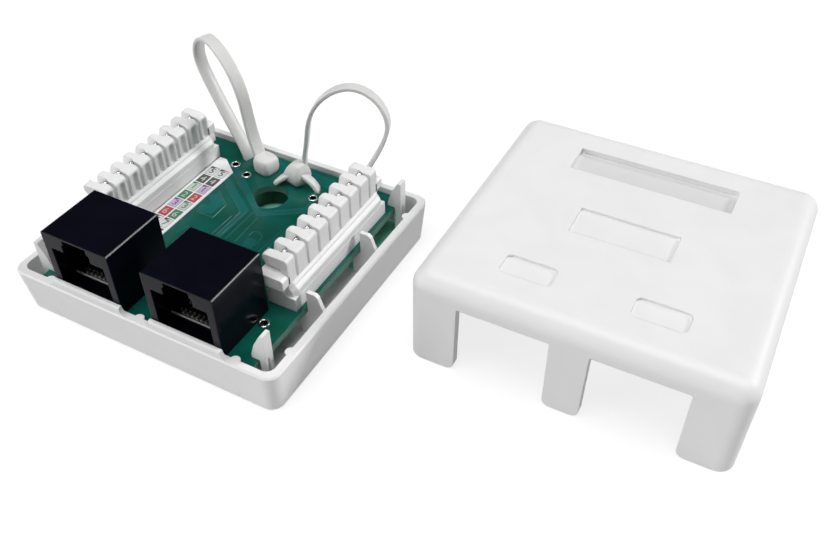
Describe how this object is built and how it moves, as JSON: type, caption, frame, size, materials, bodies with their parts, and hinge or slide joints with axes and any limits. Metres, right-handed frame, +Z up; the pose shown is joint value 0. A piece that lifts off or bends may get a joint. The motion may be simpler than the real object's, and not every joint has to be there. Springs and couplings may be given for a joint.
{
  "type": "surface mount jack box",
  "caption": "Opened surface mount jack box: shallow base tray with wired board, black modular jacks, punch-down blocks and cable ties, its cover standing beside it.",
  "frame": {"origin": "centre of the base's underside, on the surface that it stands on", "axes": "+X to the right along the side with the jacks, +Y from the jacks to the cable ties, +Z up"},
  "size_m": [0.137, 0.0853, 0.0359],
  "materials": {
    "white_plastic": "satin",
    "cover_plastic": "satin",
    "board": "solder mask over copper",
    "tin": "tinned",
    "label": "matte",
    "tie_nylon": "satin",
    "black_plastic": "gloss",
    "gold": "gold plated",
    "idc_plastic": "satin"
  },
  "bodies": {
    "root": {"base": "white_plastic", "cover": "cover_plastic", "circuit_board": "board", "plated_holes": "tin", "colour_label": "label", "cable_tie_left": "tie_nylon", "cable_tie_right": "tie_nylon", "jack_left_housing": "black_plastic", "jack_left_carrier": "black_plastic", "jack_left_contact_1": "gold", "jack_left_contact_2": "gold", "jack_left_contact_3": "gold", "jack_left_contact_4": "gold", "jack_left_contact_5": "gold", "jack_left_contact_6": "gold", "jack_left_contact_7": "gold", "jack_left_contact_8": "gold", "idc_left_body": "idc_plastic", "idc_left_foot": "idc_plastic", "idc_left_blade_1": "tin", "idc_left_blade_2": "tin", "idc_left_blade_3": "tin", "idc_left_blade_4": "tin", "idc_left_blade_5": "tin", "idc_left_blade_6": "tin", "idc_left_blade_7": "tin", "idc_left_blade_8": "tin", "jack_right_housing": "black_plastic", "jack_right_carrier": "black_plastic", "jack_right_contact_1": "gold", "jack_right_contact_2": "gold", "jack_right_contact_3": "gold", "jack_right_contact_4": "gold", "jack_right_contact_5": "gold", "jack_right_contact_6": "gold", "jack_right_contact_7": "gold", "jack_right_contact_8": "gold", "idc_right_body": "idc_plastic", "idc_right_foot": "idc_plastic", "idc_right_blade_1": "tin", "idc_right_blade_2": "tin", "idc_right_blade_3": "tin", "idc_right_blade_4": "tin", "idc_right_blade_5": "tin", "idc_right_blade_6": "tin", "idc_right_blade_7": "tin", "idc_right_blade_8": "tin"}
  },
  "joints": []
}
